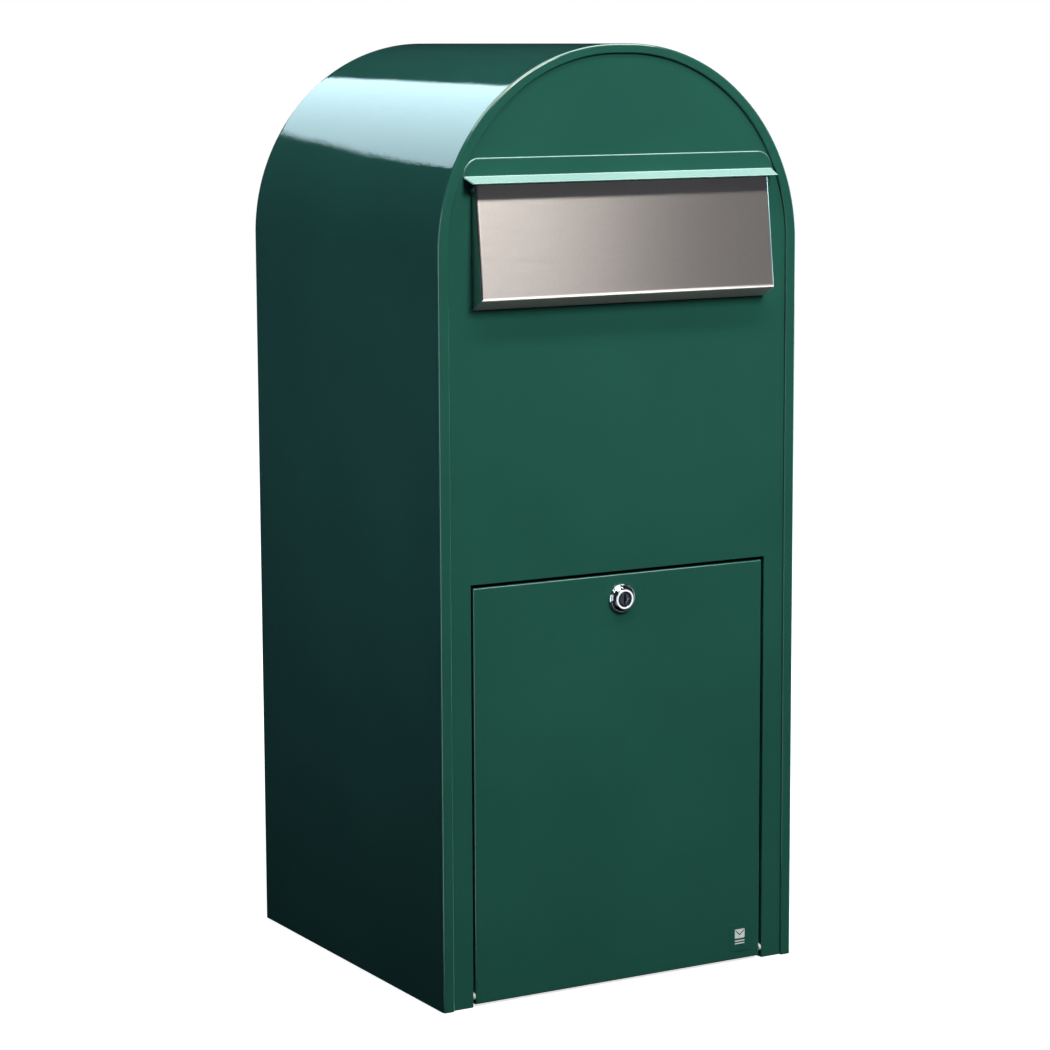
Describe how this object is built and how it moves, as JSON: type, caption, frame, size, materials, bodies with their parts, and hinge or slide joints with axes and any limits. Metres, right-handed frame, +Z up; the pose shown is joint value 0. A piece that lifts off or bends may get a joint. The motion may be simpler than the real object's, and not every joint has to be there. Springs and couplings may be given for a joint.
{
  "type": "mailbox",
  "caption": "Round-top sheet-steel mailbox with a hinged stainless letter flap under a rain visor and a drop-front door with a cam lock.",
  "frame": {"origin": "centre of the footprint on the ground", "axes": "+X is the viewer's right when facing the box, -Y is the front with the flap and the door, +Z is up"},
  "size_m": [0.362, 0.3738, 0.828],
  "materials": {
    "paint": "glossy dark green powder coat",
    "stainless": "fine satin grain",
    "chrome": "polished plating",
    "zinc": "bright zinc plating",
    "lock_core": "dark nickel",
    "rubber": "matt black",
    "nylon": "natural nylon",
    "badge": "pale print under a clear coat"
  },
  "bodies": {
    "cabinet": {"shell": "paint", "back_panel": "paint", "floor_panel": "paint", "front_panel": "paint", "visor": "paint", "flap_lugs": "zinc", "flap_pin": "stainless", "flap_pin_cap": "stainless", "jamb_left": "paint", "jamb_right": "paint", "header": "paint", "strike": "zinc", "door_buffers": "rubber", "pivot_pins": "zinc", "pivot_washers": "nylon"},
    "flap": {"flap": "stainless"},
    "door": {"door": "paint", "lock_housing": "chrome", "lock_nut": "zinc", "badge": "badge"},
    "lock_cylinder": {"lock_plug": "lock_core", "lock_cam": "zinc", "lock_cam_screw": "zinc"}
  },
  "joints": [
    {"name": "door_hinge", "type": "hinge", "parent": "cabinet", "child": "door", "pos_m": [0, -0.1648, 0.009], "axis": [1, 0, 0], "range_deg": [0, 85]},
    {"name": "flap_hinge", "type": "hinge", "parent": "cabinet", "child": "flap", "pos_m": [0, -0.1718, 0.7075], "axis": [-1, 0, 0], "range_deg": [0, 70]},
    {"name": "lock_turn", "type": "hinge", "parent": "door", "child": "lock_cylinder", "pos_m": [0, -0.171, 0.3475], "axis": [0, 1, 0], "range_deg": [0, 90]}
  ]
}
